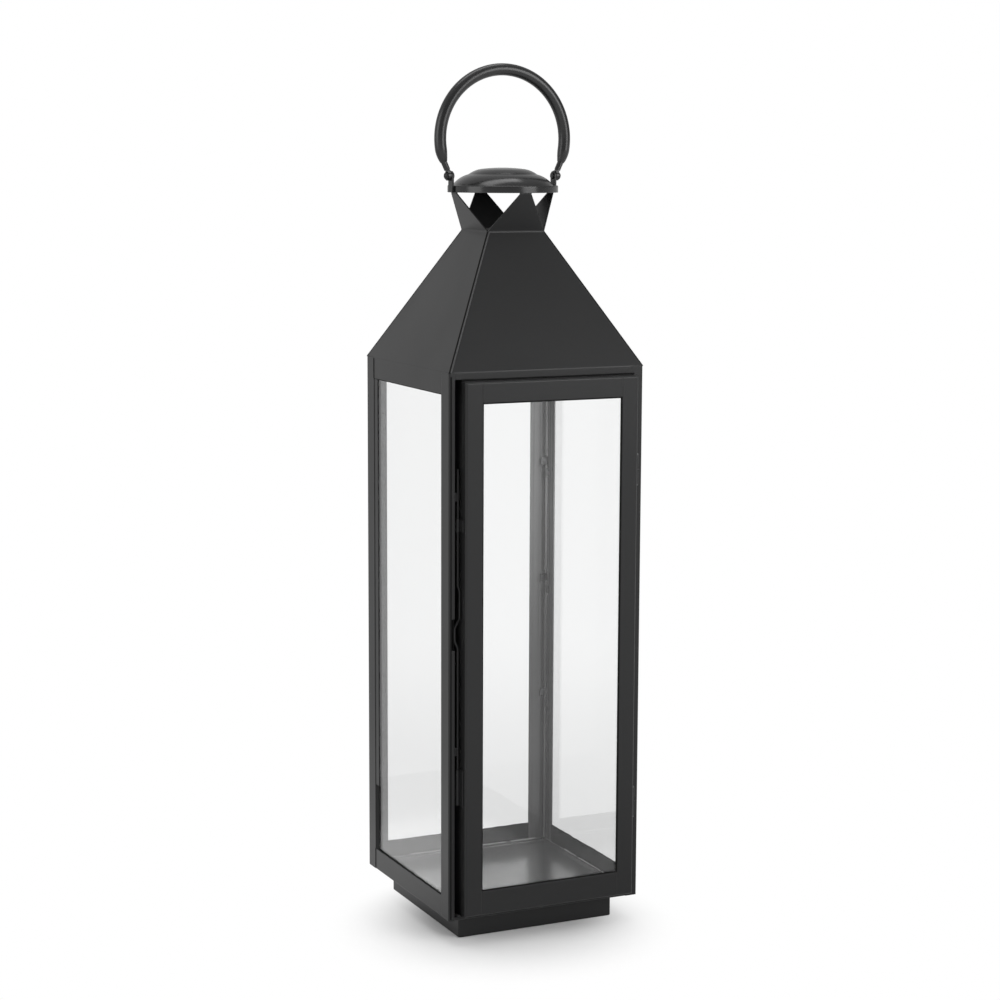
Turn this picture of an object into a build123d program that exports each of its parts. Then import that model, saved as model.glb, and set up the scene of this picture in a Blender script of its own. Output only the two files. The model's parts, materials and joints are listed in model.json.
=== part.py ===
import os
from math import cos, radians, sin, sqrt

from build123d import *

# Square candle lantern in folded steel sheet, with a glass door, a vented roof and a ring handle.
# Millimetres. The origin is the centre of the foot's underside, +Z is up and the door faces -Y.

# Stock and fits
sheet = 1.2             # steel sheet of the body, roof and door
pane = 3.0              # glass
running_gap = 0.05      # radial clearance of pins and rods
side_gap = 0.4          # between pieces that turn past each other

# Foot and body
plinth_width = 163.0
plinth_height = 24.5
plinth_bend = 1.6
bend_ease = 0.12        # lower folds tighter than the corners of a pan
body_width = 200.0
body_height = 517.2     # underside of the body to the eaves
post_flange = 18.0      # on the sides
back_flange = 22.0
latch_flange = 6.0      # front of the left post
hinge_flange = 12.0     # front of the right post
post_bend = 1.5
rail_height = 21.0
rail_bend = 1.0
sill_height = 3.2
ledge_lap = 1.3         # ledge past the inside of the plinth's wall
tray_rim = 4.5
tray_bend = 2.0
tray_gap = 0.5

# Panes and their clips
pane_margin = 4.8       # room for the clips beside a pane
pane_headroom = 2.0
clip_sheet = 0.8
clip_height = 8.0
clip_reach = 5.0        # over the pane
clip_foot = 2.6         # on the post
clip_gap = 0.3          # clip to the pane's edge
clip_count = 3
clip_pitch = 121.0
clip_start = 149.5      # lowest clip above the body's underside
front_clip_drop = 60.5  # clips at the front posts are lower
back_clip_rise = 12.0   # clips of the back pane are higher

# Roof, crown and cap
skirt_height = 20.4
header_height = 6.5     # skirt that shows over the door
roof_height = 124.6
roof_top = 59.4         # width where the crown starts
roof_bend = 2.2         # folds of the roof sheets, on the outside
crown_height = 35.1
crown_tip = 12.0        # width of a crown tab at its upright lip
crown_clear = 1.2       # crown's turn below the cap's rim
lip_gap = 0.2
cap_diameter = 105.6
cap_rim = 6.5
cap_edge = 1.0
cap_shoulder = 4.6
dome_rise = 10.3        # lower dome
dome_bulge = 1.6
step_radius = 33.0
step_width = 1.0
step_rise = 0.6
crest_rise = 5.8        # upper dome
crest_fall = 1.2        # from its middle to the turn of its edge
crest_edge = 12.0       # width of its rounded edge

# Handle
ring_radius = 65.1      # centre line
ring_rise = 34.7        # ring's centre above the pivots
grip_diameter = 11.4
grip_droop = 9.0        # degrees below level where the grip starts to narrow
swage_droop = 19.5      # degrees below level where it ends
swage_shoulder = 10.0   # diameter half way along the narrow end
swage_diameter = 6.8
bail_diameter = 5.6
bail_droop = 21.5       # degrees below level where the bail flattens
pivot_rise = 9.0        # pivots above the rim's top
eye_radius = 4.5
eye_thickness = 3.0
neck_rise = 5.0
neck_width = 7.0
lug_width = 9.0
lug_thickness = 2.0
lug_gap = 0.05
rivet_diameter = 3.2
rivet_head = 8.0
rivet_dome = 2.5
rivet_tail = 6.0
rivet_tail_height = 1.2

# Door
door_depth = 9.0
door_gap = 0.5          # door's back to the body's front
latch_gap = 6.5         # door's edge to the latch post's flange
hinge_lap = 2.6         # door's edge over the hinge post's flange
door_foot_gap = 1.5
door_head_gap = 1.8
door_bend = 2.0
stile_width = 17.0
head_width = 19.2
foot_width = 23.5
lip_setback = 2.0       # back lip short of the front face's edge
glass_lap = 6.0         # glass behind the front faces
jamb_width = 8.0        # door stop beside the latch
jamb_depth = 18.0
jamb_gap = 0.3          # door stop's web to the left pane
jamb_bend = 1.6
latch_channel = 7.0     # latch post's flange to the door stop

# Hinges
knuckle_diameter = 3.8
hinge_pin = 2.0
barrel_length = 14.0
barrel_gap = 0.3
tab_sheet = 0.9
post_tab = 4.6
door_tab = 5.0
hinge_inset = 76.0      # door's ends to the hinges
pin_head = 3.4
pin_head_height = 1.0

# Latch rod
rod_diameter = 2.6
rod_depth = 2.0         # axis behind the body's front
rod_inset = 3.8         # axis beside the latch post's flange
rod_length = 316.0
rod_foot = 108.0        # lower end above the door's bottom
rod_bend = 3.0
low_guide = 34.0
high_guide = 12.0
high_guide_drop = 46.0  # upper guide's top below the rod's upper end
guide_diameter = 4.4
guide_floor = 1.2
guide_tab = 8.0
guide_sheet = 1.2
bow_rise = 148.5        # above the rod's lower end
bow_height = 26.0
bow_flat = 12.0
bow_reach = 3.4
jog_height = 27.0
jog_reach = 1.8
notch_depth = 4.4
notch_spare = 2.0
notch_round = 3.6
tongue_length = 6.2
tongue_height = 8.0
tongue_sheet = 1.2
tongue_lead = 0.3       # tongue's front face before the rod's axis
low_tongue_rise = 46.0  # above the rod's lower end
high_tongue_drop = 22.0 # tongue's top below the rod's upper end

# Body, worked out
half = body_width / 2
inner = half - sheet
ledge_z = plinth_height + sheet
eave_z = plinth_height + body_height
sill_z = plinth_height + sill_height
header_z = eave_z - header_height
flange_edge = half - post_flange
latch_edge = -half + latch_flange
hinge_edge = half - hinge_flange
ledge_end = inner - post_bend
ledge_edge = plinth_width / 2 - sheet - ledge_lap
pane_half = inner - pane_margin
jamb_x = latch_edge + latch_channel
jamb_end = jamb_x + jamb_width
jamb_web = -inner + pane + jamb_gap
jamb_back = jamb_depth - sheet - half

# Roof and handle, worked out
roof_z = eave_z + roof_height
crown_z = roof_z + crown_height
rim_z = crown_z + crown_clear
shoulder_z = rim_z + cap_rim
lip_z = shoulder_z - sheet
cap_radius = cap_diameter / 2
lip_radius = sqrt((cap_radius - sheet - lip_gap) ** 2 - (crown_tip / 2) ** 2)
pivot_z = shoulder_z + pivot_rise
ring_z = pivot_z + ring_rise
lug_x = cap_radius + lug_gap
eye_x = lug_x + lug_thickness + side_gap

# Door, worked out
door_back = -half - door_gap
door_front = door_back - door_depth
door_left = latch_edge + latch_gap
door_right = hinge_edge + hinge_lap
door_low = sill_z + door_foot_gap
door_high = header_z - door_head_gap
view_left = door_left + stile_width
view_right = door_right - stile_width
view_low = door_low + foot_width
view_high = door_high - head_width
glass_front = door_front + sheet
glass_back = glass_front + pane
lip_front = door_back - sheet
hinge_x = door_right + side_gap + knuckle_diameter / 2
hinge_y = -half - side_gap - knuckle_diameter / 2
rod_x = latch_edge + rod_inset
rod_y = -half + rod_depth
rod_z = door_low + rod_foot
rod_top = rod_z + rod_length


# Level plane whose -Y looks out of one side of the body
def facing(turn, height):
    return Plane.XY.offset(height).rotated((0, 0, turn))


# Upright plane through the axis: X runs along a side, Y is up and the normal looks out
def elevation(turn):
    along = Vector(1, 0, 0).rotate(Axis.Z, turn)
    out = Vector(0, -1, 0).rotate(Axis.Z, turn)
    return Plane((0, 0, 0), x_dir=along, z_dir=out)


# Upright plane through the axis: X runs out of a side and Y is up
def profile(turn):
    along = Vector(1, 0, 0).rotate(Axis.Z, turn)
    out = Vector(0, -1, 0).rotate(Axis.Z, turn)
    return Plane((0, 0, 0), x_dir=out, z_dir=-along)


def keep(part, label):
    part.label = label
    export_step(part, f"parts/{label}.step")


# Rail with a mitred ledge that carries a pane and the tray: uprights are (start, end, height)
def bottom_rail(turn, uprights):
    with BuildPart() as rail:
        for start, end, height in uprights:
            with BuildSketch(facing(turn, plinth_height)):
                with Locations(((start + end) / 2, sheet / 2 - half)):
                    Rectangle(end - start, sheet)
            extrude(amount=height)
        with BuildSketch(facing(turn, plinth_height)):
            with BuildLine():
                Polyline(
                    (-ledge_end, -inner),
                    (ledge_end, -inner),
                    (ledge_end, -ledge_end),
                    (ledge_edge, -ledge_edge),
                    (-ledge_edge, -ledge_edge),
                    (-ledge_end, -ledge_end),
                    close=True,
                )
            make_face()
        extrude(amount=sheet)
        outer_face = rail.faces().sort_by_distance(elevation(turn).from_local_coords((0, ledge_z, half)))[0]
        fillet(outer_face.edges().sort_by(Axis.Z)[0], rail_bend)
    return rail.part


# Folded angle: one flange on a side of the body, the other on the front or back
def post(x_side, y_side, face_flange):
    with BuildPart() as angle:
        with BuildSketch(Plane.XY.offset(plinth_height)) as section:
            with BuildLine():
                Polyline(
                    (x_side * half, y_side * half),
                    (x_side * half, y_side * flange_edge),
                    (x_side * inner, y_side * flange_edge),
                    (x_side * inner, y_side * inner),
                    (x_side * (half - face_flange), y_side * inner),
                    (x_side * (half - face_flange), y_side * half),
                    close=True,
                )
            make_face()
            for corner, radius in ((half, post_bend), (inner, post_bend - sheet)):
                fold = section.vertices().sort_by_distance((x_side * corner, y_side * corner))[0]
                fillet(fold, radius)
        extrude(amount=body_height)
    return angle.part


def fixed_pane(turn):
    with BuildPart() as glass:
        with BuildSketch(facing(turn, ledge_z)):
            with Locations((0, pane / 2 - inner)):
                Rectangle(2 * pane_half, pane)
        extrude(amount=eave_z - pane_headroom - ledge_z)
    return glass.part


# Bent clips at both edges of a pane: (edge, height) pairs
def pane_clips(turn, places):
    with BuildPart() as clips:
        for edge, height in places:
            with BuildSketch(facing(turn, height - clip_height / 2)):
                with BuildLine():
                    Polyline(
                        (edge * (pane_half + clip_gap + clip_sheet + clip_foot), -inner),
                        (edge * (pane_half + clip_gap), -inner),
                        (edge * (pane_half + clip_gap), pane - inner),
                        (edge * (pane_half - clip_reach), pane - inner),
                    )
                    offset(
                        amount=clip_sheet,
                        side=Side.RIGHT if edge > 0 else Side.LEFT,
                        kind=Kind.INTERSECTION,
                    )
                make_face()
            extrude(amount=clip_height)
    return clips.part


# Skirt, slope and crown tab folded from one sheet, mitred along the hips: skirts are (start, end, drop)
def roof_panel(turn, skirts):
    with BuildPart() as outline:
        with BuildSketch(facing(turn, eave_z)):
            with BuildLine():
                Polyline((0, 0), (-half, -half), (half, -half), close=True)
            make_face()
        extrude(amount=lip_z - eave_z)
        with BuildSketch(elevation(turn)):
            with BuildLine():
                Polyline(
                    (-half, eave_z),
                    (half, eave_z),
                    (roof_top / 2, roof_z),
                    (crown_tip / 2, crown_z),
                    (crown_tip / 2, lip_z),
                    (-crown_tip / 2, lip_z),
                    (-crown_tip / 2, crown_z),
                    (-roof_top / 2, roof_z),
                    close=True,
                )
            make_face()
        extrude(amount=half, mode=Mode.INTERSECT)
        for start, end, drop in skirts:
            with BuildSketch(elevation(turn)):
                with Locations(((start + end) / 2, eave_z - drop / 2)):
                    Rectangle(end - start, drop)
            extrude(amount=half)
    with BuildPart() as panel:
        with BuildSketch(profile(turn)):
            with BuildLine():
                FilletPolyline(
                    (half, eave_z - skirt_height),
                    (half, eave_z),
                    (roof_top / 2, roof_z),
                    (lip_radius, crown_z),
                    (lip_radius, lip_z),
                    radius=roof_bend,
                )
                offset(amount=sheet, side=Side.LEFT)
            make_face()
        extrude(amount=half, both=True)
        add(outline.part, mode=Mode.INTERSECT)
    return panel.part


# Flat lug on the cap's rim with a rounded top around its pivot hole
def handle_lug(side):
    with BuildPart() as lug:
        with BuildSketch(Plane.YZ.offset(side * lug_x)):
            with Locations((0, (rim_z + pivot_z) / 2)):
                Rectangle(lug_width, pivot_z - rim_z)
            with Locations((0, pivot_z)):
                Circle(lug_width / 2)
                Circle(rivet_diameter / 2 + running_gap, mode=Mode.SUBTRACT)
        extrude(amount=side * lug_thickness)
    return lug.part


def handle_rivet(side):
    tail_x = lug_x - rivet_tail_height
    head_x = eye_x + eye_thickness + side_gap
    with BuildPart() as rivet:
        with BuildSketch(Plane.XZ):
            with BuildLine():
                Polyline(
                    (side * (head_x + rivet_dome), pivot_z),
                    (side * tail_x, pivot_z),
                    (side * tail_x, pivot_z + rivet_tail / 2),
                    (side * lug_x, pivot_z + rivet_tail / 2),
                    (side * lug_x, pivot_z + rivet_diameter / 2),
                    (side * head_x, pivot_z + rivet_diameter / 2),
                    (side * head_x, pivot_z + rivet_head / 2),
                )
                TangentArc(
                    (side * (head_x + rivet_dome), pivot_z),
                    (side * head_x, pivot_z + rivet_head / 2),
                    tangent=(0, 1),
                )
            make_face()
        revolve(axis=Axis((0, 0, pivot_z), (1, 0, 0)))
    return rivet.part


# Plane across the ring's centre line, some degrees below level
def ring_section(side, droop):
    turn = radians(droop)
    centre = (side * ring_radius * cos(turn), 0, ring_z - ring_radius * sin(turn))
    down = (-side * sin(turn), 0, -cos(turn))
    return Plane(centre, x_dir=(0, 1, 0), z_dir=down)


# Channel of the door's side, open towards the glass and closed at both ends
def door_stile(outer, inward):
    with BuildPart() as stile:
        with BuildSketch(Plane.XY.offset(door_low)):
            with BuildLine():
                Polyline(
                    (outer, door_front),
                    (outer + inward * stile_width, door_front),
                    (outer + inward * stile_width, glass_front),
                    (outer + inward * sheet, glass_front),
                    (outer + inward * sheet, lip_front),
                    (outer + inward * (stile_width - lip_setback), lip_front),
                    (outer + inward * (stile_width - lip_setback), door_back),
                    (outer, door_back),
                    close=True,
                )
            make_face()
        extrude(amount=door_high - door_low)
        for end in (door_low, door_high - sheet):
            with BuildSketch(Plane.XY.offset(end)):
                with Locations((outer + inward * stile_width / 2, (door_front + door_back) / 2)):
                    Rectangle(stile_width, door_depth)
            extrude(amount=sheet)
        front_edges = stile.faces().sort_by(Axis.Y)[0].edges()
        fillet(front_edges.sort_by(Axis.X, reverse=inward < 0)[:-1], door_bend)
    return stile.part


# Channel of the door's head or foot, butted between the stiles
def door_rail(outer, inward, width):
    with BuildPart() as rail:
        with BuildSketch(Plane.YZ.offset(view_left)):
            with BuildLine():
                Polyline(
                    (door_front, outer),
                    (door_front, outer + inward * width),
                    (glass_front, outer + inward * width),
                    (glass_front, outer + inward * sheet),
                    (lip_front, outer + inward * sheet),
                    (lip_front, outer + inward * (width - lip_setback)),
                    (door_back, outer + inward * (width - lip_setback)),
                    (door_back, outer),
                    close=True,
                )
            make_face()
        extrude(amount=view_right - view_left)
        front_edges = rail.faces().sort_by(Axis.Y)[0].edges().filter_by(Axis.X)
        fillet(front_edges.sort_by(Axis.Z, reverse=inward < 0)[0], door_bend)
    return rail.part


# Strip that holds the door's glass against the front faces
def door_bead(left, right, low, high):
    with BuildPart() as bead:
        with BuildSketch(Plane.XY.offset(low)):
            with Locations(((left + right) / 2, (glass_back + lip_front) / 2)):
                Rectangle(right - left, lip_front - glass_back)
        extrude(amount=high - low)
    return bead.part


# Barrel of a hinge with its tab, bored for the pin
def hinge_barrel(bottom, tab_place, tab_length, tab_width):
    with BuildPart() as barrel:
        with BuildSketch(Plane.XY.offset(bottom)):
            with Locations((hinge_x, hinge_y)):
                Circle(knuckle_diameter / 2)
            with Locations(tab_place):
                Rectangle(tab_length, tab_width)
            with Locations((hinge_x, hinge_y)):
                Circle(hinge_pin / 2 + running_gap, mode=Mode.SUBTRACT)
        extrude(amount=barrel_length)
    return barrel.part


def hinge_pin_at(bottom):
    length = 2 * barrel_length + barrel_gap
    with BuildPart() as pin:
        with BuildSketch(Plane.XY.offset(bottom)):
            with Locations((hinge_x, hinge_y)):
                Circle(hinge_pin / 2)
        extrude(amount=length)
        for head in (bottom - pin_head_height, bottom + length):
            with BuildSketch(Plane.XY.offset(head)):
                with Locations((hinge_x, hinge_y)):
                    Circle(pin_head / 2)
            extrude(amount=pin_head_height)
    return pin.part


# Sleeve for the latch rod, on a tab that lies against the door's edge
def latch_guide(bottom, height, floor):
    with BuildPart() as guide:
        with BuildSketch(Plane.XY.offset(bottom)):
            with Locations((rod_x, rod_y)):
                Circle(guide_diameter / 2)
            with Locations((door_left - guide_sheet / 2, rod_y - guide_tab / 2)):
                Rectangle(guide_sheet, guide_tab)
        extrude(amount=height)
        with BuildSketch(Plane.XY.offset(bottom + floor)):
            with Locations((rod_x, rod_y)):
                Circle(rod_diameter / 2 + running_gap)
        extrude(amount=height - floor, mode=Mode.SUBTRACT)
    return guide.part


os.makedirs("parts", exist_ok=True)

# Foot: a folded pan, open towards the body
with BuildPart() as plinth:
    with BuildSketch():
        RectangleRounded(plinth_width, plinth_width, plinth_bend)
    extrude(amount=plinth_height)
    fillet(plinth.faces().sort_by(Axis.Z)[0].edges(), plinth_bend - bend_ease)
    offset(amount=-sheet, openings=plinth.faces().sort_by(Axis.Z)[-1])
keep(plinth.part, "plinth_pan")

# Body frame
back_edge = half - back_flange
fixed_sides = {"left": (-90, flange_edge), "right": (90, flange_edge), "back": (180, back_edge)}
for side, (turn, rail_end) in fixed_sides.items():
    keep(bottom_rail(turn, [(-rail_end, rail_end, rail_height)]), f"bottom_rail_{side}")
    keep(fixed_pane(turn), f"glass_{side}")
sill_parts = [(latch_edge, hinge_edge, sill_height), (jamb_end, hinge_edge, rail_height)]
keep(bottom_rail(0, sill_parts), "front_sill")

bow_low = rod_z + bow_rise
bow_high = bow_low + bow_height
with BuildPart() as latch_post:
    add(post(-1, -1, latch_flange))
    with BuildSketch(Plane.XZ.offset(half)):
        with Locations((latch_edge, (bow_low + bow_high) / 2)):
            RectangleRounded(2 * notch_depth, bow_height + 2 * notch_spare, notch_round)
    extrude(amount=-2 * sheet, mode=Mode.SUBTRACT)
keep(latch_post.part, "post_front_left")
keep(post(1, -1, hinge_flange), "post_front_right")
keep(post(-1, 1, back_flange), "post_back_left")
keep(post(1, 1, back_flange), "post_back_right")

# Door stop: a strip folded twice, which lines the latch's channel from the sill to the header
with BuildPart() as jamb:
    with BuildSketch(Plane.XY.offset(sill_z)):
        with BuildLine():
            FilletPolyline(
                (jamb_end, -half),
                (jamb_x, -half),
                (jamb_x, jamb_back),
                (jamb_web, jamb_back),
                radius=jamb_bend,
            )
            offset(amount=sheet, side=Side.RIGHT)
        make_face()
    extrude(amount=header_z - sill_z)
keep(jamb.part, "door_stop")

# Floor tray, behind the door stop and inside the panes
tray_side = inner - pane - tray_gap
tray_front = jamb_depth + tray_gap - half
with BuildPart() as tray:
    with BuildSketch(Plane.XY.offset(ledge_z)):
        with Locations((0, (tray_front + tray_side) / 2)):
            RectangleRounded(2 * tray_side, tray_side - tray_front, tray_bend)
    extrude(amount=tray_rim)
    fillet(tray.faces().sort_by(Axis.Z)[0].edges(), tray_bend - bend_ease)
    offset(amount=-sheet, openings=tray.faces().sort_by(Axis.Z)[-1])
keep(tray.part, "floor_tray")

# Clips: along the back posts, lower along the front posts, higher on the back pane
levels = [plinth_height + clip_start + clip_pitch * row for row in range(clip_count)]
rear = [(-1, level) for level in levels]
front = [(1, level - front_clip_drop) for level in levels]
keep(pane_clips(-90, rear + front), "glass_clips_left")
keep(pane_clips(90, [(-edge, level) for edge, level in rear + front]), "glass_clips_right")
back = [(edge, level + back_clip_rise) for level in levels for edge in (-1, 1)]
keep(pane_clips(180, back), "glass_clips_back")

# Roof and cap
for side, (turn, skirt_end) in fixed_sides.items():
    keep(roof_panel(turn, [(-skirt_end, skirt_end, skirt_height)]), f"roof_panel_{side}")
header_parts = [(latch_edge, hinge_edge, header_height), (jamb_end, hinge_edge, skirt_height)]
keep(roof_panel(0, header_parts), "roof_panel_front")

dome_foot = cap_radius - cap_shoulder
step_z = shoulder_z + dome_rise
crest_foot = step_radius - step_width
crest_z = step_z + step_rise + crest_rise
with BuildPart() as cap:
    with BuildSketch(Plane.XZ) as cap_section:
        with BuildLine():
            Polyline(
                (0, crest_z),
                (0, rim_z),
                (cap_radius, rim_z),
                (cap_radius, shoulder_z),
                (dome_foot, shoulder_z),
            )
            SagittaArc((dome_foot, shoulder_z), (step_radius, step_z), -dome_bulge)
            Line((step_radius, step_z), (crest_foot, step_z + step_rise))
            crest_turn = (crest_foot - crest_edge, crest_z - crest_fall)
            crest = TangentArc((0, crest_z), crest_turn, tangent=(1, 0))
            TangentArc(crest_turn, (crest_foot, step_z + step_rise), tangent=crest % 1)
        make_face()
        fillet(cap_section.vertices().sort_by_distance((cap_radius, shoulder_z))[0], cap_edge)
    revolve(axis=Axis.Z)
    offset(amount=-sheet, openings=cap.faces().sort_by(Axis.Z)[0])
keep(cap.part, "vent_cap")

# Handle
for side, name in {-1: "left", 1: "right"}.items():
    keep(handle_lug(side), f"handle_lug_{name}")
    keep(handle_rivet(side), f"handle_rivet_{name}")

with BuildPart() as grip:
    with BuildLine(Plane.XZ) as grip_path:
        CenterArc((0, ring_z), ring_radius, -grip_droop, 180 + 2 * grip_droop)
    with BuildSketch(Plane(grip_path.line @ 0, z_dir=grip_path.line % 0)):
        Circle(grip_diameter / 2)
    sweep()
    for side in (-1, 1):
        with BuildSketch(ring_section(side, grip_droop)):
            Circle(grip_diameter / 2)
        with BuildSketch(ring_section(side, (grip_droop + swage_droop) / 2)):
            Circle(swage_shoulder / 2)
        with BuildSketch(ring_section(side, swage_droop)):
            Circle(swage_diameter / 2)
        loft()
    with BuildLine(Plane.XZ) as bore_path:
        CenterArc((0, ring_z), ring_radius, -swage_droop, 180 + 2 * swage_droop)
    with BuildSketch(Plane(bore_path.line @ 0, z_dir=bore_path.line % 0)):
        Circle(bail_diameter / 2 + running_gap)
    sweep(path=bore_path.line, mode=Mode.SUBTRACT)
keep(grip.part, "handle_grip")

neck_z = pivot_z + neck_rise
with BuildPart() as bail:
    with BuildLine(Plane.XZ) as bail_path:
        CenterArc((0, ring_z), ring_radius, -bail_droop, 180 + 2 * bail_droop)
    with BuildSketch(Plane(bail_path.line @ 0, z_dir=bail_path.line % 0)):
        Circle(bail_diameter / 2)
    sweep()
    for side in (-1, 1):
        with BuildSketch(ring_section(side, bail_droop)):
            Circle(bail_diameter / 2)
        neck_top = Vector(side * (eye_x + eye_thickness / 2), 0, neck_z)
        with BuildSketch(Plane(neck_top, x_dir=(0, 1, 0), z_dir=(0, 0, -1))):
            Ellipse(neck_width / 2, eye_thickness / 2)
        loft()
        with BuildSketch(Plane.YZ.offset(side * eye_x)):
            with Locations((0, (pivot_z + neck_z) / 2)):
                Rectangle(neck_width, neck_z - pivot_z)
            with Locations((0, pivot_z)):
                Circle(eye_radius)
                Circle(rivet_diameter / 2 + running_gap, mode=Mode.SUBTRACT)
        extrude(amount=side * eye_thickness)
keep(bail.part, "handle_bail")

# Door
keep(door_stile(door_left, 1), "door_stile_left")
keep(door_stile(door_right, -1), "door_stile_right")
keep(door_rail(door_high, -1, head_width), "door_rail_top")
keep(door_rail(door_low, 1, foot_width), "door_rail_bottom")

glass_left = view_left - glass_lap
glass_right = view_right + glass_lap
glass_low = view_low - glass_lap
glass_high = view_high + glass_lap
with BuildPart() as door_glass:
    with BuildSketch(Plane.XY.offset(glass_low)):
        with Locations(((glass_left + glass_right) / 2, (glass_front + glass_back) / 2)):
            Rectangle(glass_right - glass_left, pane)
    extrude(amount=glass_high - glass_low)
keep(door_glass.part, "door_glass")

bead_left = view_left - lip_setback
bead_right = view_right + lip_setback
keep(door_bead(glass_left, bead_left, glass_low, glass_high), "door_bead_left")
keep(door_bead(bead_right, glass_right, glass_low, glass_high), "door_bead_right")
keep(door_bead(bead_left, bead_right, glass_low, view_low - lip_setback), "door_bead_bottom")
keep(door_bead(bead_left, bead_right, view_high + lip_setback, glass_high), "door_bead_top")

# Hinges: the post's barrel below, the door's barrel above it
hinge_feet = {"lower": door_low + hinge_inset, "upper": door_high - hinge_inset - 2 * barrel_length}
for name, bottom in hinge_feet.items():
    post_side = (hinge_x + post_tab / 2, -half - tab_sheet / 2)
    keep(hinge_barrel(bottom, post_side, post_tab, tab_sheet), f"hinge_{name}_post_barrel")
    door_bottom = bottom + barrel_length + barrel_gap
    door_side = (door_right + tab_sheet / 2, hinge_y - door_tab / 2)
    keep(hinge_barrel(door_bottom, door_side, tab_sheet, door_tab), f"hinge_{name}_door_barrel")
    keep(hinge_pin_at(bottom), f"hinge_{name}_pin")

# Latch: a bent rod whose bow sits in the post's notch and whose tongues reach behind its flange
keep(latch_guide(rod_z - guide_floor, low_guide, guide_floor), "latch_guide_lower")
keep(latch_guide(rod_top - high_guide_drop - high_guide, high_guide, 0), "latch_guide_upper")

jog_low = bow_high + jog_reach
jog_high = jog_low + jog_height
bow_slope = (bow_height - bow_flat) / 2
with BuildPart() as rod:
    with BuildLine(Plane.XZ.offset(-rod_y)) as rod_path:
        FilletPolyline(
            (rod_x, rod_z),
            (rod_x, bow_low),
            (rod_x - bow_reach, bow_low + bow_slope),
            (rod_x - bow_reach, bow_high - bow_slope),
            (rod_x + jog_reach, jog_low),
            (rod_x + jog_reach, jog_high),
            (rod_x, jog_high + 2 * jog_reach),
            (rod_x, rod_top),
            radius=rod_bend,
        )
    with BuildSketch(Plane((rod_x, rod_y, rod_z))):
        Circle(rod_diameter / 2)
    sweep()
    for tongue_z in (rod_z + low_tongue_rise, rod_top - high_tongue_drop - tongue_height):
        with BuildSketch(Plane.XY.offset(tongue_z)):
            with Locations((rod_x - tongue_length / 2, rod_y - tongue_lead + tongue_sheet / 2)):
                Rectangle(tongue_length, tongue_sheet)
        extrude(amount=tongue_height)
keep(rod.part, "latch_rod")
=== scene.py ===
import json
import math

import bpy
from mathutils import Matrix, Vector


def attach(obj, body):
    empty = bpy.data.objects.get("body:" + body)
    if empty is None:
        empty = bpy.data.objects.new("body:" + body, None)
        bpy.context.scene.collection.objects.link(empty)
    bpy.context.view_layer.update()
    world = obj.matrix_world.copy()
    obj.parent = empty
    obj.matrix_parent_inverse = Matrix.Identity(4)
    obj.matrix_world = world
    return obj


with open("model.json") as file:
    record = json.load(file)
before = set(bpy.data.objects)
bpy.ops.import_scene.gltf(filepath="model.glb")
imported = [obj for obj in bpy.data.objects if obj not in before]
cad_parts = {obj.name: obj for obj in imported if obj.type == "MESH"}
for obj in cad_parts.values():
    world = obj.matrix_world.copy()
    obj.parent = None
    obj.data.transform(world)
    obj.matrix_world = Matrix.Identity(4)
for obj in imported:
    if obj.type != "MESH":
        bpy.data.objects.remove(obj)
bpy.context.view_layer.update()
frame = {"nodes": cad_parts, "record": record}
nodes = frame["nodes"]
print("lantern loaded:", len(nodes), "pieces")

noiseMiddle = 0.5               # what a noise texture wavers about


# A socket that can stand in sums and products
class Wire:
    def __init__(self, finish, socket):
        self.finish = finish
        self.socket = socket

    def __add__(self, other):
        return self.finish.maths("ADD", self, other)

    def __sub__(self, other):
        return self.finish.maths("SUBTRACT", self, other)

    def __rsub__(self, other):
        return self.finish.maths("SUBTRACT", other, self)

    def __mul__(self, other):
        return self.finish.maths("MULTIPLY", self, other)

    __radd__ = __add__
    __rmul__ = __mul__


# A node tree under construction, for a material or the world
class Finish:
    def __init__(self, owner):
        owner.use_nodes = True
        self.owner = owner
        self.tree = owner.node_tree
        self.tree.nodes.clear()

    def node(self, kind, settings=None, sockets=None):
        made = self.tree.nodes.new("ShaderNode" + kind)
        for key, value in (settings or {}).items():
            setattr(made, key, value)
        for key, value in (sockets or {}).items():
            self.feed(made.inputs[key], value)
        return made

    def feed(self, socket, value):
        if isinstance(value, Wire):
            self.tree.links.new(value.socket, socket)
        else:
            socket.default_value = value

    def wire(self, node, output=0):
        return Wire(self, node.outputs[output])

    def maths(self, operation, *values):
        inputs = dict(enumerate(values))
        return self.wire(self.node("Math", {"operation": operation}, inputs))

    def vectors(self, operation, *values, output="Vector"):
        inputs = dict(enumerate(values))
        return self.wire(self.node("VectorMath", {"operation": operation}, inputs), output)

    def mixColour(self, factor, first, second):
        inputs = {0: factor, 6: first, 7: second}
        return self.wire(self.node("Mix", {"data_type": "RGBA"}, inputs), 2)

    def mixShader(self, factor, first, second):
        inputs = {0: factor, 1: self.wire(first), 2: self.wire(second)}
        return self.node("MixShader", None, inputs)

    def noise(self, place, scale, detail=2.0):
        inputs = {"Vector": place, "Scale": scale, "Detail": detail}
        return self.wire(self.node("TexNoise", None, inputs))

    def objectPlace(self):
        return self.wire(self.node("TexCoord"), "Object")

    # 0 below the band, 1 above it
    def band(self, value, low, high):
        settings = {"interpolation_type": "SMOOTHSTEP"}
        inputs = {"Value": value, "From Min": low, "From Max": high}
        return self.wire(self.node("MapRange", settings, inputs))

    def output(self, shader):
        kind = "OutputWorld" if isinstance(self.owner, bpy.types.World) else "OutputMaterial"
        self.node(kind, None, {"Surface": self.wire(shader)})


def newFinish(name):
    return Finish(bpy.data.materials.new(name))


def solid(colour):
    return (*colour, 1.0)


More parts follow.
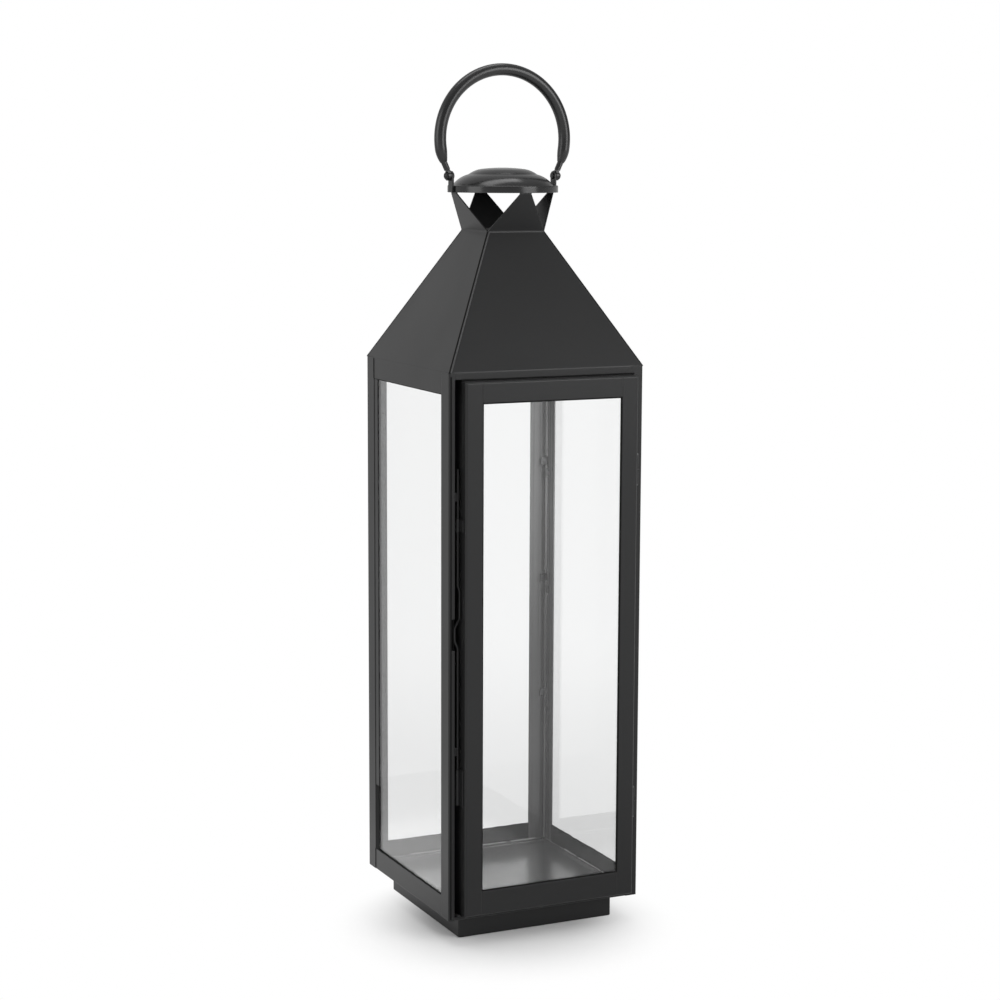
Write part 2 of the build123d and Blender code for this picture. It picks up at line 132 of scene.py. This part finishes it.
paint = {
    "colour": (0.0125, 0.0126, 0.0129),
    "wornAndLitColour": (0.06, 0.06, 0.061),      # where the coat is thin, on edges, with a painted highlight there too
    "edgeWearAndSheen": 0.35,
    "edgeRadius": 0.0009,
    "edgeSamples": 6,
    "edgeBand": (0.02, 0.25),
    "scuffScale": 90.0,         # breaks up the pale edges, worn and highlighted
    "scuffDetail": 3.0,
    "scuffBand": (0.25, 0.65),
    "roughness": 0.36,
    "roughnessSpread": 0.1,
    "cloudScale": 14.0,
    "peelScale": 900.0,         # orange peel of the powder coat
    "peelDetail": 1.0,
    "peelDepth": 0.000012,
    "shine": 0.28,
}
smooth = {"roughnessSpread": 0.05, "edgeRadius": 0.0004, "peelDepth": 0.000004, "shine": 0.4}
handlePaint = {**paint, **smooth, "roughness": 0.28, "edgeRadius": 0.0}
capPaint = {**paint, **smooth, "roughness": 0.21}
clipPaint = {**paint, "roughness": 0.45}
innerPaintedLight = {                  # the post seen through the door, its inner faces painted pale and streaky, lighter towards the top: painted light
    **paint,
    "innerLitColour": (0.14, 0.14, 0.141),
    "innerTopHighlight": (0.48, 0.48, 0.481),
    "innerFaces": (0.099, 0.0996),      # distance from the axis where they end
    "highlightHeights": (0.2, 0.42),
    "streaks": (260.0, 260.0, 3.0),
    "streakBand": (0.05, 0.55),
}
innerClipPaintedLight = {              # clips on that post, paler towards the top as well: painted light
    **innerPaintedLight,
    "roughness": clipPaint["roughness"],
    "innerLitColour": (0.03, 0.03, 0.0305),
    "innerTopHighlight": (0.17, 0.17, 0.171),
    "highlightHeights": (0.3, 0.41),
}
trayPaint = {
    **paint,
    "colour": (0.03, 0.03, 0.0305),
    "wornAndLitColour": (0.4, 0.4, 0.4),      # rubbed rim, with a painted highlight along it too
    "edgeWearAndSheen": 0.9,
    "edgeRadius": 0.0012,
    "roughness": 0.22,
    "roughnessSpread": 0.08,
    "cloudScale": 40.0,
    "peelDepth": 0.000003,
    "shine": 0.9,
}


# How much a bevelled normal leaves the flat one, 1 on an edge and 0 on a face, and that normal
def edgeMask(finish, settings):
    bevel = finish.node("Bevel", {"samples": settings["edgeSamples"]}, {"Radius": settings["edgeRadius"]})
    rounded = finish.wire(bevel)
    flat = finish.wire(finish.node("NewGeometry"), "Normal")
    likeness = finish.vectors("DOT_PRODUCT", rounded, flat, output="Value")
    return finish.band(1 - likeness, *settings["edgeBand"]), rounded


# Paler, streaked colour on faces inside the body, lighter towards the roof: painted light on those faces
def innerPaintedLightCoat(finish, place, settings):
    parts = finish.node("SeparateXYZ", None, {"Vector": place})
    x, y, z = (finish.wire(parts, axis) for axis in "XYZ")
    reach = finish.maths("MAXIMUM", finish.maths("ABSOLUTE", x), finish.maths("ABSOLUTE", y))
    inside = 1 - finish.band(reach, *settings["innerFaces"])
    stretched = finish.vectors("MULTIPLY", place, settings["streaks"])
    streak = finish.band(finish.noise(stretched, 1.0), *settings["streakBand"])
    # painted highlight: paler towards the top
    top = finish.band(z, *settings["highlightHeights"])
    paintedLight = finish.mixColour(top, solid(settings["innerLitColour"]), solid(settings["innerTopHighlight"]))
    return finish.mixColour(inside * streak, solid(settings["colour"]), paintedLight)


def powderCoat(name, settings):
    finish = newFinish(name)
    place = finish.objectPlace()
    edge, rounded = edgeMask(finish, settings)
    cloud = finish.noise(place, settings["cloudScale"])
    peel = finish.noise(place, settings["peelScale"], settings["peelDetail"])
    scuffs = finish.noise(place, settings["scuffScale"], settings["scuffDetail"])
    # Pale edges: a worn thin coat and a painted highlight
    wornAndLit = edge * settings["edgeWearAndSheen"] * finish.band(scuffs, *settings["scuffBand"])
    base = solid(settings["colour"])
    if "innerLitColour" in settings:
        base = innerPaintedLightCoat(finish, place, settings)
    bump = finish.node("Bump", None, {
        "Strength": 1.0,
        "Distance": settings["peelDepth"],
        "Height": peel,
        "Normal": rounded,
    })
    finish.output(finish.node("BsdfPrincipled", None, {
        "Base Color": finish.mixColour(wornAndLit, base, solid(settings["wornAndLitColour"])),
        "Roughness": settings["roughness"] + (cloud - noiseMiddle) * settings["roughnessSpread"],
        "Specular IOR Level": settings["shine"],
        "Normal": finish.wire(bump),
    }))
    return finish.owner


paneGlass = {
    "tint": (0.953, 0.956, 0.956),
    "bending": 1.5,
    "lampTint": (0.95, 0.95, 0.95),     # what the panes let through of the lamps
}


def clearGlass(name):
    finish = newFinish(name)
    shader = finish.node("BsdfPrincipled", None, {
        "Base Color": solid(paneGlass["tint"]),
        "Roughness": 0.0,
        "IOR": paneGlass["bending"],
        "Transmission Weight": 1.0,
    })
    lampRay = finish.wire(finish.node("LightPath"), "Is Shadow Ray")
    clear = finish.node("BsdfTransparent", None, {"Color": solid(paneGlass["lampTint"])})
    finish.output(finish.mixShader(lampRay, shader, clear))
    return finish.owner


hingePins = {
    "colour": (0.18, 0.18, 0.185),
    "grainScale": 700.0,
    "roughness": 0.45,
    "roughnessGain": 0.2,
}


def turnedSteel(name):
    finish = newFinish(name)
    grain = finish.noise(finish.objectPlace(), hingePins["grainScale"])
    finish.output(finish.node("BsdfPrincipled", None, {
        "Base Color": solid(hingePins["colour"]),
        "Metallic": 1.0,
        "Roughness": hingePins["roughness"] + grain * hingePins["roughnessGain"],
    }))
    return finish.owner


stripRubber = {
    "darkest": (0.003, 0.003, 0.003),
    "palest": (0.007, 0.007, 0.007),
    "grainScale": 1200.0,
    "roughness": 0.6,
    "roughnessGain": 0.2,
    "shine": 0.12,
}


def glazingStrip(name):
    finish = newFinish(name)
    grain = finish.noise(finish.objectPlace(), stripRubber["grainScale"])
    finish.output(finish.node("BsdfPrincipled", None, {
        "Base Color": finish.mixColour(grain, solid(stripRubber["darkest"]), solid(stripRubber["palest"])),
        "Roughness": stripRubber["roughness"] + grain * stripRubber["roughnessGain"],
        "Specular IOR Level": stripRubber["shine"],
    }))
    return finish.owner


finishes = {
    "black_paint": powderCoat("black_paint", paint),
    "handle_paint": powderCoat("handle_paint", handlePaint),
    "clip_steel": powderCoat("clip_paint", clipPaint),
    "pin_steel": turnedSteel("pin_steel"),
    "glazing_strip": glazingStrip("glazing_strip"),
    "glass": clearGlass("glass"),
}
for row in frame["record"]["subparts"]:
    piece = nodes[row["node"]]
    piece.data.materials.clear()
    piece.data.materials.append(finishes[row["material_slot"]])
nodes["floor_tray"].data.materials[0] = powderCoat("tray_paint", trayPaint)
nodes["vent_cap"].data.materials[0] = powderCoat("cap_paint", capPaint)
nodes["post_back_right"].data.materials[0] = powderCoat("inner_painted_light", innerPaintedLight)
innerLitClips = powderCoat("inner_clip_painted_light", innerClipPaintedLight)
for name in ("glass_clips_back", "glass_clips_right"):
    nodes[name].data.materials[0] = innerLitClips
print("finishes given to", len(nodes), "pieces")


# A Geometry Nodes tree under construction, with named inputs for its sizes
class Recipe:
    def __init__(self, name, inputs):
        self.tree = bpy.data.node_groups.new(name, "GeometryNodeTree")
        self.tree.interface.new_socket("Geometry", in_out="INPUT", socket_type="NodeSocketGeometry")
        self.tree.interface.new_socket("Geometry", in_out="OUTPUT", socket_type="NodeSocketGeometry")
        for title, kind in inputs.items():
            self.tree.interface.new_socket(title, in_out="INPUT", socket_type="NodeSocket" + kind)
        self.start = self.tree.nodes.new("NodeGroupInput")

    def node(self, kind, settings=None, sockets=None):
        made = self.tree.nodes.new(kind)
        for key, value in (settings or {}).items():
            setattr(made, key, value)
        for key, value in (sockets or {}).items():
            if isinstance(value, bpy.types.NodeSocket):
                self.tree.links.new(value, made.inputs[key])
            else:
                made.inputs[key].default_value = value
        return made

    def given(self, title):
        return self.start.outputs[title]

    def close(self, geometry, material):
        real = self.node("GeometryNodeRealizeInstances", None, {"Geometry": geometry})
        painted = self.node("GeometryNodeSetMaterial", None, {
            "Geometry": real.outputs["Geometry"],
            "Material": material,
        })
        self.node("NodeGroupOutput", None, {"Geometry": painted.outputs["Geometry"]})


def newObject(name, data):
    made = bpy.data.objects.new(name, data)
    bpy.context.scene.collection.objects.link(made)
    return made


# Runs a recipe on a mesh and leaves a plain mesh piece
def growPiece(name, mesh, recipe, values):
    source = newObject(name + "_path", mesh)
    grown = source.modifiers.new("grow", "NODES")
    grown.node_group = recipe.tree
    for item in recipe.tree.interface.items_tree:
        if item.in_out == "INPUT" and item.name in values:
            grown[item.identifier] = values[item.name]
    evaluated = source.evaluated_get(bpy.context.evaluated_depsgraph_get())
    result = bpy.data.meshes.new_from_object(evaluated)
    result.name = name
    piece = newObject(name, result)
    source.modifiers.remove(grown)
    bpy.data.objects.remove(source)
    return piece


beadSides = 16                  # of a bead's round section


# A round bead along each edge of a mesh, wavering from it by the unevenness
def beadRecipe():
    recipe = Recipe("filler_bead", {
        "Radius": "Float",
        "Step": "Float",
        "Unevenness": "Float",
        "Ripple": "Float",
        "Seed": "Float",
        "Paint": "Material",
    })
    line = recipe.node("GeometryNodeMeshToCurve", None, {"Mesh": recipe.given("Geometry")})
    stepped = recipe.node("GeometryNodeResampleCurve", {"mode": "LENGTH"}, {
        "Curve": line.outputs["Curve"],
        "Length": recipe.given("Step"),
    })
    wander = recipe.node("ShaderNodeTexNoise", {"noise_dimensions": "4D"}, {
        "W": recipe.given("Seed"),
        "Scale": recipe.given("Ripple"),
    })
    centred = recipe.node("ShaderNodeVectorMath", {"operation": "SUBTRACT"}, {
        0: wander.outputs["Color"],
        1: (noiseMiddle, noiseMiddle, noiseMiddle),
    })
    drift = recipe.node("ShaderNodeVectorMath", {"operation": "SCALE"}, {
        0: centred.outputs["Vector"],
        "Scale": recipe.given("Unevenness"),
    })
    moved = recipe.node("GeometryNodeSetPosition", None, {
        "Geometry": stepped.outputs["Curve"],
        "Offset": drift.outputs["Vector"],
    })
    section = recipe.node("GeometryNodeCurvePrimitiveCircle", {"mode": "RADIUS"}, {
        "Resolution": beadSides,
        "Radius": recipe.given("Radius"),
    })
    bead = recipe.node("GeometryNodeCurveToMesh", None, {
        "Curve": moved.outputs["Geometry"],
        "Profile Curve": section.outputs["Curve"],
        "Fill Caps": True,
    })
    recipe.close(bead.outputs["Mesh"], recipe.given("Paint"))
    return recipe


beads = beadRecipe()


# Lays beads between pairs of points and hands them to a body
def layBeads(name, points, settings, material, body):
    path = bpy.data.meshes.new(name + "_path")
    path.from_pydata(points, [(index, index + 1) for index in range(0, len(points), 2)], [])
    piece = growPiece(name, path, beads, {
        "Radius": settings["radius"],
        "Step": settings["step"],
        "Unevenness": settings["unevenness"],
        "Ripple": settings["ripple"],
        "Seed": settings["seed"],
        "Paint": material,
    })
    for face in piece.data.polygons:
        face.use_smooth = True
    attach(piece, body)


# Hips of the roof: a black bead as painted shade in the groove where two sheets meet, and the upper
# sheet's turned edge beside it, painted paler as a highlight
hips = {
    "foot": (0.1, 0.5417),      # reach and height
    "head": (0.0297, 0.6663),
    "edgeInset": 0.0019,
    "grooveSink": 0.0003,
}
hipCorners = {                  # side in x and y, and the way in along the upper sheet
    "frontLeft": ((-1, -1), (1, 0)),
    "frontRight": ((1, -1), (0, 1)),
    "backRight": ((1, 1), (0, 1)),
    "backLeft": ((-1, 1), (1, 0)),
}
hipEdge = {"radius": 0.0008, "step": 0.003, "unevenness": 0.0002, "ripple": 60.0, "seed": 7.0}
hipGrooveShade = {"radius": 0.0007, "step": 0.003, "unevenness": 0.0001, "ripple": 60.0, "seed": 3.0}
# paler paint on the hips' turned edges: a painted highlight
hipHighlightPaint = {**paint, "colour": (0.05, 0.05, 0.051), "shine": 0.4}
edgePoints, grooveShadePoints = [], []
for (sideX, sideY), (inX, inY) in hipCorners.values():
    for reach, height in (hips["foot"], hips["head"]):
        edgeX = sideX * (reach - inX * hips["edgeInset"])
        edgeY = sideY * (reach - inY * hips["edgeInset"])
        edgePoints.append((edgeX, edgeY, height))
        sunk = reach - hips["grooveSink"]
        grooveShadePoints.append((sideX * sunk, sideY * sunk, height - hips["grooveSink"]))
layBeads("hip_edges", edgePoints, hipEdge, powderCoat("hip_highlight_paint", hipHighlightPaint), "frame")
layBeads("hip_groove_shades", grooveShadePoints, hipGrooveShade, finishes["glazing_strip"], "frame")
print("roof seams laid")

# Black strip round the door's glass, in the step of the door's frame, as painted shade of the frame's
# inner edge
doorGlassShade = {
    "left": -0.0701,
    "right": 0.0732,
    "low": 0.0531,
    "high": 0.5138,
    "depth": -0.1085,
    "radius": 0.001,
    "step": 0.004,
    "unevenness": 0.0001,
    "ripple": 40.0,
    "seed": 11.0,
}
stripCorners = [
    (doorGlassShade["left"], doorGlassShade["low"]),
    (doorGlassShade["right"], doorGlassShade["low"]),
    (doorGlassShade["right"], doorGlassShade["high"]),
    (doorGlassShade["left"], doorGlassShade["high"]),
]
stripPoints = []
for start, end in zip(stripCorners, stripCorners[1:] + stripCorners[:1]):
    for x, z in (start, end):
        stripPoints.append((x, doorGlassShade["depth"], z))
layBeads("door_glass_shade", stripPoints, doorGlassShade, finishes["glazing_strip"], "door")

# Uneven dark beads where the fixed panes stand behind the bottom rails, and a finer dark line under the
# skirts
darkPaneBeads = {
    "face": 0.0992,
    "height": 0.0458,
    "sideEnd": 0.0815,
    "backEnd": 0.0775,
    "radius": 0.0009,
    "step": 0.0025,
    "unevenness": 0.0018,
    "ripple": 110.0,
    "seed": 5.0,
}
skirtLine = {**darkPaneBeads, "height": 0.5209, "radius": 0.0006, "unevenness": 0.0003}


def paneEdge(settings):
    points = []
    for side in (-1, 1):
        for end in (-1, 1):
            points.append((side * settings["face"], end * settings["sideEnd"], settings["height"]))
    for end in (-1, 1):
        points.append((end * settings["backEnd"], settings["face"], settings["height"]))
    return points


layBeads("pane_dark_beads", paneEdge(darkPaneBeads), darkPaneBeads, finishes["glazing_strip"], "frame")
layBeads("skirt_dark_line", paneEdge(skirtLine), skirtLine, finishes["glazing_strip"], "frame")
# The door's strip is painted shade
print("strip and sealant laid")


def flatStrip(name, settings, material):
    (x0, y0, z0), (x1, y1, z1) = settings["low"], settings["high"]
    points = [(x, y, z) for z in (z0, z1) for x, y in ((x0, y0), (x1, y0), (x1, y1), (x0, y1))]
    sides = [(3, 2, 1, 0), (4, 5, 6, 7), (0, 1, 5, 4), (1, 2, 6, 5), (2, 3, 7, 6), (3, 0, 4, 7)]
    mesh = bpy.data.meshes.new(name)
    mesh.from_pydata(points, [], sides)
    mesh.materials.append(material)
    strip = newObject(name, mesh)
    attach(strip, "frame")


# Strip down the left pane's back edge, with a black patch over its foot
paneStrip = {"low": (-0.0996, 0.0735, 0.0456), "high": (-0.0989, 0.0819, 0.5212)}
paneFootDarkPatch = {"low": (-0.0999, 0.0735, 0.0456), "high": (-0.0996, 0.0819, 0.112)}
flatStrip("left_pane_strip", paneStrip, finishes["black_paint"])
flatStrip("left_pane_dark_patch", paneFootDarkPatch, finishes["glazing_strip"])

# Dark beads where the back posts meet skirts and rails, down the latch post's fold and under the header:
# painted shade in these joints and painted shadow above the door
postSeamShades = {
    "face": 0.0997,
    "joint": 0.0819,
    "skirt": (0.5213, 0.541),
    "rail": (0.0262, 0.0455),
    "fold": (-0.0979, -0.0997),
    "foldSpan": (0.0262, 0.538),
    "header": (-0.1001, 0.5346),
    "headerSpan": (-0.088, 0.0905),
    "radius": 0.0008,
    "step": 0.003,
    "unevenness": 0.0002,
    "ripple": 60.0,
    "seed": 2.0,
}
postPoints = []
for side in (-1, 1):
    for span in (postSeamShades["skirt"], postSeamShades["rail"]):
        for z in span:
            postPoints.append((side * postSeamShades["face"], postSeamShades["joint"], z))
for z in postSeamShades["foldSpan"]:
    postPoints.append((*postSeamShades["fold"], z))
for x in postSeamShades["headerSpan"]:
    postPoints.append((x, *postSeamShades["header"]))
layBeads("post_seam_shades", postPoints, postSeamShades, finishes["glazing_strip"], "frame")

# Pale beads along the tray's rim: rubbed spots and a painted highlight
trayRimWearAndSheen = {
    "rim": 0.0945,
    "height": 0.0303,
    "backSpans": ((-0.055, -0.01), (-0.004, 0.05), (0.056, 0.084)),
    "rightSpans": ((0.046, 0.02), (0.014, -0.034), (-0.037, -0.07)),
    "radius": 0.0006,
    "step": 0.002,
    "unevenness": 0.0012,
    "ripple": 170.0,
    "seed": 9.0,
}
bareAndLitRimPaint = {**paint, "colour": (0.24, 0.24, 0.24), "roughness": 0.5}
rimWearAndSheenPoints = []
for span in trayRimWearAndSheen["backSpans"]:
    for x in span:
        rimWearAndSheenPoints.append((x, trayRimWearAndSheen["rim"], trayRimWearAndSheen["height"]))
for span in trayRimWearAndSheen["rightSpans"]:
    for y in span:
        rimWearAndSheenPoints.append((trayRimWearAndSheen["rim"], y, trayRimWearAndSheen["height"]))
layBeads("tray_rim_wear_and_sheen", rimWearAndSheenPoints, trayRimWearAndSheen, powderCoat("bare_and_lit_rim", bareAndLitRimPaint), "frame")

# Pale line up the corner behind the tray
cornerSeam = {
    "place": 0.0951,
    "span": (0.031, 0.2),
    "radius": 0.0006,
    "step": 0.002,
    "unevenness": 0.0004,
    "ripple": 170.0,
    "seed": 9.0,
}
cornerPaint = {**paint, "colour": (0.11, 0.11, 0.11)}
cornerPoints = [(cornerSeam["place"], cornerSeam["place"], z) for z in cornerSeam["span"]]
cornerPaleLine = powderCoat("corner_pale_line", cornerPaint)
layBeads("corner_seam", cornerPoints, cornerSeam, cornerPaleLine, "frame")

# Rounded necks between the grip's ends and the bail's eyes
necks = {
    "top": (0.0615, 0.0, 0.7315),
    "foot": (0.0579, 0.0, 0.7238),
    "radius": 0.0029,
    "step": 0.001,
    "unevenness": 0.0,
    "ripple": 1.0,
    "seed": 0.0,
}
neckPoints = []
for side in (-1, 1):
    for x, y, z in (necks["top"], necks["foot"]):
        neckPoints.append((side * x, y, z))
layBeads("handle_necks", neckPoints, necks, finishes["handle_paint"], "handle")
# The dark seams are painted shade, and the rim beads are partly a painted highlight
print("seams, wear and necks laid")

# Pale floor: matt with a soft shadow near the foot, plain white further out
studioFloor = {
    "reach": 40.0,
    "colour": (0.77, 0.77, 0.77),
    "whiteCentre": (-0.025, -0.064, 0.0),
    "whiteBand": (0.06, 0.173),     # distances over which it turns white
    "throughGlass": 0.15,       # painted shade: how much darker the near floor is through glass
    "glassBand": (0.2, 1.4),
    # painted reflection: for gloss rays the floor glows brighter close behind and dimmer far behind
    "mirror": 0.6,              # that white as gloss shows it
    "farFront": 0.45,           # and what its other parts add
    "farBack": -0.35,
    "nearBack": 0.5,
    "farBand": (0.25, 0.8),
    "backHeading": (-0.42, 0.9, 0.0),
    "backBand": (-0.1, 0.3),
}


# Rays that show a thing plainly, those of them through glass, and rays that mirror it
def rayKinds(finish):
    path = finish.node("LightPath")
    through = finish.wire(path, "Is Transmission Ray")
    seen = finish.maths("MAXIMUM", finish.wire(path, "Is Camera Ray"), through)
    mirrored = finish.wire(path, "Is Glossy Ray") * (1 - seen)
    return seen, through, mirrored


def floorFinish():
    finish = newFinish("studio_floor")
    place = finish.objectPlace()
    shifted = finish.vectors("SUBTRACT", place, studioFloor["whiteCentre"])
    distance = finish.vectors("LENGTH", shifted, output="Value")
    seen, through, mirrored = rayKinds(finish)
    paintedGlassShade = through * studioFloor["throughGlass"] * (1 - finish.band(distance, *studioFloor["glassBand"]))
    behind = finish.vectors("DOT_PRODUCT", place, studioFloor["backHeading"], output="Value")
    back = finish.band(behind, *studioFloor["backBand"])
    far = finish.band(distance, *studioFloor["farBand"])
    # painted reflection: the floor's glow as gloss rays see it
    gloss = studioFloor["mirror"] + back * studioFloor["nearBack"]
    gloss = gloss + far * ((1 - back) * studioFloor["farFront"] + back * studioFloor["farBack"])
    matt = finish.node("BsdfDiffuse", None, {"Color": solid(studioFloor["colour"])})
    white = finish.node("Emission", None, {"Strength": seen - paintedGlassShade + mirrored * gloss})
    whiter = finish.band(distance, *studioFloor["whiteBand"])
    shown = whiter * finish.maths("MAXIMUM", seen, mirrored)
    finish.output(finish.mixShader(shown, matt, white))
    return finish.owner


reach = studioFloor["reach"]
floorCorners = [(-reach, -reach, 0), (reach, -reach, 0), (reach, reach, 0), (-reach, reach, 0)]
floorMesh = bpy.data.meshes.new("studio_floor")
floorMesh.from_pydata(floorCorners, [], [(0, 1, 2, 3)])
floorMesh.materials.append(floorFinish())
floor = newObject("studio_floor", floorMesh)

# Room round the lantern: white to the camera, shaded by side for gloss
room = {
    "mattLight": 0.68,
    "glossLight": 0.4,          # before its sides
    "sideBand": (0.5, 0.98),    # how near a side's heading it adds its light
}
roomSides = {                   # heading and the light that it adds
    "camera": ((-0.43, -0.89, 0.12), -0.1),
    "frontRight": ((0.44, -0.9, 0.0), -0.18),
    "right": ((0.97, -0.2, 0.1), -0.18),
    "back": ((0.42, 0.9, 0.1), 0.12),
    "backLeft": ((-0.42, 0.9, 0.1), 0.26),
    "left": ((-0.97, 0.2, 0.1), 0.25),
    "ceiling": ((0.0, 0.0, 1.0), 0.28),
}


def roomFinish():
    finish = Finish(bpy.data.worlds.new("studio_dome"))
    seen, _, mirrored = rayKinds(finish)
    heading = finish.wire(finish.node("TexCoord"), "Generated")
    gloss = room["glossLight"]
    for side, gain in roomSides.values():
        facing = finish.vectors("DOT_PRODUCT", heading, side, output="Value")
        gloss = gloss + finish.band(facing, *room["sideBand"]) * gain
    strength = seen + mirrored * gloss + (1 - seen - mirrored) * room["mattLight"]
    finish.output(finish.node("Background", None, {"Color": (1.0, 1.0, 1.0, 1.0), "Strength": strength}))
    return finish.owner


bpy.context.scene.world = roomFinish()

softboxes = {                   # place, target, size, power
    "sideLeft": ((-2.3, -0.2, 1.2), (0, 0, 0.5), (1.4, 1.6), 18.0),
    "sideRight": ((1.4, -2.2, 1.4), (0, 0, 0.5), (1.5, 1.6), 42.0),
    "above": ((-0.04, 0.24, 2.5), (0, 0, 0.5), (1.6, 0.7), 12.0),
}


def softbox(name, place, target, size, power):
    lamp = bpy.data.lights.new(name, "AREA")
    lamp.shape = "RECTANGLE"
    lamp.size, lamp.size_y = size
    lamp.energy = power
    box = newObject(name, lamp)
    box.location = place
    box.rotation_mode = "QUATERNION"
    box.rotation_quaternion = (Vector(target) - Vector(place)).to_track_quat("-Z", "Y")


for side, settings in softboxes.items():
    softbox("softbox_" + side, *settings)
print("studio ready")

# Camera where the photograph was taken
shot = {
    "side": -25.164,            # degrees round from the front
    "distance": 2.24325,
    "height": 0.73952,
    "down": 8.462,
    "pan": 0.037,
    "roll": 0.227,
    "focal": 2.33224,           # in picture widths
    "sensor": 36.0,
}


def photoCamera():
    side, down = math.radians(shot["side"]), math.radians(shot["down"])
    turn = side + math.radians(shot["pan"])
    roll = math.radians(shot["roll"])
    place = Vector((math.sin(side) * shot["distance"], -math.cos(side) * shot["distance"], shot["height"]))
    ahead = Vector((-math.sin(turn) * math.cos(down), math.cos(turn) * math.cos(down), -math.sin(down)))
    right = Vector((math.cos(turn), math.sin(turn), 0))
    up = right.cross(ahead)
    rolledRight = right * math.cos(roll) + up * math.sin(roll)
    rolledUp = up * math.cos(roll) - right * math.sin(roll)
    data = bpy.data.cameras.new("photo_camera")
    data.sensor_width = shot["sensor"]
    data.sensor_fit = "HORIZONTAL"
    data.lens = shot["focal"] * shot["sensor"]
    camera = newObject("photo_camera", data)
    turned = Matrix((rolledRight, rolledUp, -ahead)).transposed().to_4x4()
    camera.matrix_world = Matrix.Translation(place) @ turned
    bpy.context.scene.camera = camera


photoCamera()
bpy.context.scene.view_settings.view_transform = "Standard"

print("lantern ready")
